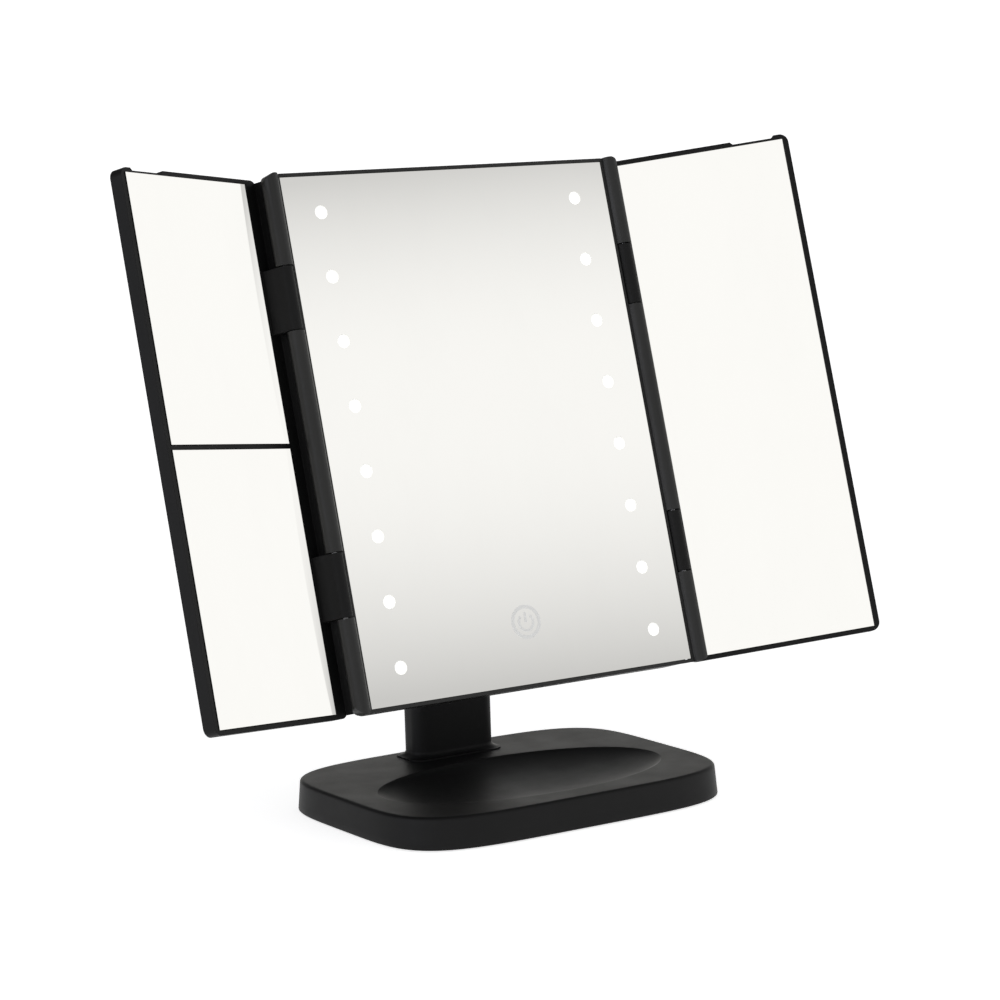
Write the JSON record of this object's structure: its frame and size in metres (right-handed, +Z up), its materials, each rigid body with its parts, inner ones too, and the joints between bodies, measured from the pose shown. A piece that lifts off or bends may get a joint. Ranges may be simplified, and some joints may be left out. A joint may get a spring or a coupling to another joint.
{
  "type": "lighted trifold vanity mirror",
  "caption": "Tabletop trifold makeup mirror in black plastic: tilting centre mirror with lights along both sides, folding mirror wings, a neck and a base with a shallow tray dish",
  "frame": {"origin": "on the table under the middle of the base outline", "axes": "+Z up, -Y toward the user facing the mirror, +X to that user's right along the base's width"},
  "size_m": [0.3434, 0.127, 0.2884],
  "materials": {
    "black_plastic": "satin moulded plastic, black",
    "black_plastic_inner": "plain moulded plastic, black",
    "charcoal_plastic": "satin moulded plastic, charcoal",
    "mirror": "silvered and polished",
    "light_diffuser": "milky diffusing plastic",
    "steel": "zinc plated",
    "nylon": "natural nylon, smooth",
    "rubber": "fine matt rubber",
    "foam_tape": "closed-cell foam adhesive",
    "board_white": "circuit board, white solder mask",
    "board_green": "circuit board, green solder mask",
    "led_yellow": "clear resin over phosphor",
    "copper": "bare copper foil",
    "battery_jacket": "printed sleeve, plain"
  },
  "bodies": {
    "base": {"base_shell": "black_plastic", "base_bottom_plate": "black_plastic_inner", "base_ballast": "steel", "base_screws": "steel", "anti_slip_pad": "rubber", "neck_post": "black_plastic", "neck_screws": "steel"},
    "head": {"tilt_axle": "steel", "axle_nut": "steel", "spring_washer": "steel", "friction_washers": "nylon", "hinge_caps": "black_plastic", "centre_frame": "charcoal_plastic", "centre_mirror": "mirror", "mirror_tape": "foam_tape", "light_windows": "light_diffuser", "led_board_left": "board_white", "led_board_right": "board_white", "leds_left": "led_yellow", "leds_right": "led_yellow", "touch_electrode": "copper", "control_board": "board_green", "power_socket": "steel", "switch_body": "steel", "rear_cover": "black_plastic", "rear_screws": "steel", "battery_box": "black_plastic_inner", "battery_cells": "battery_jacket", "battery_springs": "steel", "battery_contacts": "steel", "left_hinge_pins": "steel", "right_hinge_pins": "steel"},
    "left_wing": {"left_wing_shell": "black_plastic", "left_mirror_upper": "mirror", "left_mirror_lower": "mirror", "left_mirror_pads": "foam_tape"},
    "right_wing": {"right_wing_shell": "black_plastic", "right_mirror": "mirror", "right_mirror_tape": "foam_tape"},
    "battery_door": {"battery_door": "black_plastic"},
    "switch_knob": {"switch_knob": "black_plastic"}
  },
  "joints": [
    {"name": "head_tilt", "type": "hinge", "parent": "base", "child": "head", "pos_m": [0, 0.031, 0.108], "axis": [1, 0, 0], "range_deg": [-74.5, 20.5]},
    {"name": "left_wing_fold", "type": "hinge", "parent": "head", "child": "left_wing", "pos_m": [-0.0882, 0.00531, 0.16805], "axis": [0, 0.2672, 0.9636], "range_deg": [-24.3, 155.7]},
    {"name": "right_wing_fold", "type": "hinge", "parent": "head", "child": "right_wing", "pos_m": [0.0882, 0.00531, 0.16805], "axis": [0, -0.2672, -0.9636], "range_deg": [-28.7, 151.3]},
    {"name": "battery_door_slide", "type": "slide", "parent": "head", "child": "battery_door", "axis": [0, 0.2672, 0.9636], "range_m": [0, 0.062]},
    {"name": "switch_slide", "type": "slide", "parent": "head", "child": "switch_knob", "axis": [0, 0.2672, 0.9636], "range_m": [0, 0.003]}
  ]
}
